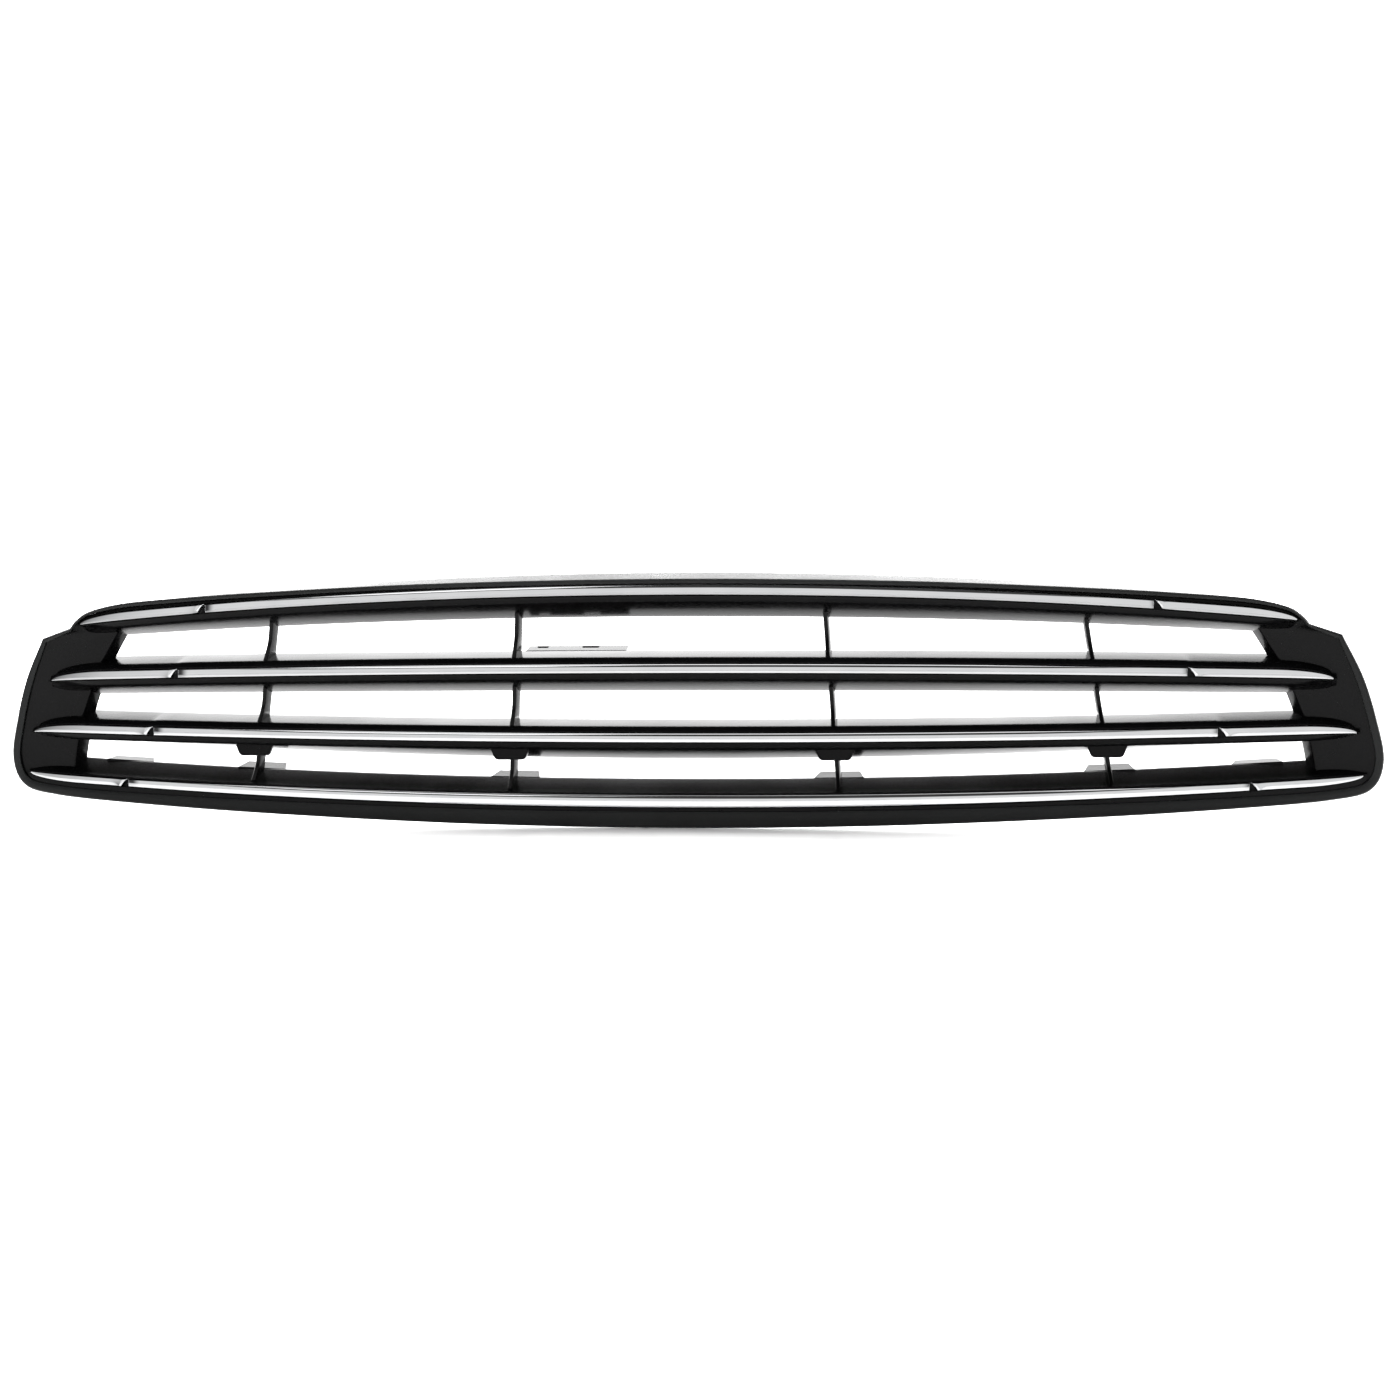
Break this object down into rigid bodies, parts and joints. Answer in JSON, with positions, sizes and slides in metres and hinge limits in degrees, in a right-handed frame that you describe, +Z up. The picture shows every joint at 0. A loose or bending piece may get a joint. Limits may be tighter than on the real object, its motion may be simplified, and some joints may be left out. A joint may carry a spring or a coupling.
{
  "type": "front grille",
  "caption": "Wide bowed front grille of a car: black moulded blades and ribs with chrome strips along their noses, in a textured black outer surround.",
  "frame": {"origin": "middle of the whole grille's bounding box", "axes": "+X across the car to the right of someone facing the grille, +Y rearward into the car, +Z up"},
  "size_m": [1.1, 0.0952, 0.2002],
  "materials": {
    "gloss_black_abs": "smooth moulded gloss",
    "textured_black_abs": "fine moulded grain, satin",
    "chrome": "bright plated plastic",
    "spring_steel": "dark tempered sheet",
    "zinc_plated_steel": "bright zinc plate"
  },
  "bodies": {
    "root": {"surround": "textured_black_abs", "insert": "gloss_black_abs", "chrome_strip_left_1": "chrome", "chrome_strip_center_1": "chrome", "chrome_strip_right_1": "chrome", "chrome_strip_left_2": "chrome", "chrome_strip_center_2": "chrome", "chrome_strip_right_2": "chrome", "chrome_strip_left_3": "chrome", "chrome_strip_center_3": "chrome", "chrome_strip_right_3": "chrome", "chrome_strip_left_4": "chrome", "chrome_strip_center_4": "chrome", "chrome_strip_right_4": "chrome", "push_nut_left_1_1": "spring_steel", "push_nut_left_1_2": "spring_steel", "push_nut_center_1_1": "spring_steel", "push_nut_center_1_2": "spring_steel", "push_nut_center_1_3": "spring_steel", "push_nut_center_1_4": "spring_steel", "push_nut_right_1_1": "spring_steel", "push_nut_right_1_2": "spring_steel", "push_nut_left_2_1": "spring_steel", "push_nut_left_2_2": "spring_steel", "push_nut_center_2_1": "spring_steel", "push_nut_center_2_2": "spring_steel", "push_nut_center_2_3": "spring_steel", "push_nut_center_2_4": "spring_steel", "push_nut_right_2_1": "spring_steel", "push_nut_right_2_2": "spring_steel", "push_nut_left_3_1": "spring_steel", "push_nut_left_3_2": "spring_steel", "push_nut_center_3_1": "spring_steel", "push_nut_center_3_2": "spring_steel", "push_nut_center_3_3": "spring_steel", "push_nut_center_3_4": "spring_steel", "push_nut_right_3_1": "spring_steel", "push_nut_right_3_2": "spring_steel", "push_nut_left_4_1": "spring_steel", "push_nut_left_4_2": "spring_steel", "push_nut_center_4_1": "spring_steel", "push_nut_center_4_2": "spring_steel", "push_nut_center_4_3": "spring_steel", "push_nut_center_4_4": "spring_steel", "push_nut_right_4_1": "spring_steel", "push_nut_right_4_2": "spring_steel", "screw_upper_1": "zinc_plated_steel", "screw_upper_2": "zinc_plated_steel", "screw_upper_3": "zinc_plated_steel", "screw_upper_4": "zinc_plated_steel", "screw_lower_1": "zinc_plated_steel", "screw_lower_2": "zinc_plated_steel", "screw_lower_3": "zinc_plated_steel", "screw_lower_4": "zinc_plated_steel"}
  },
  "joints": []
}
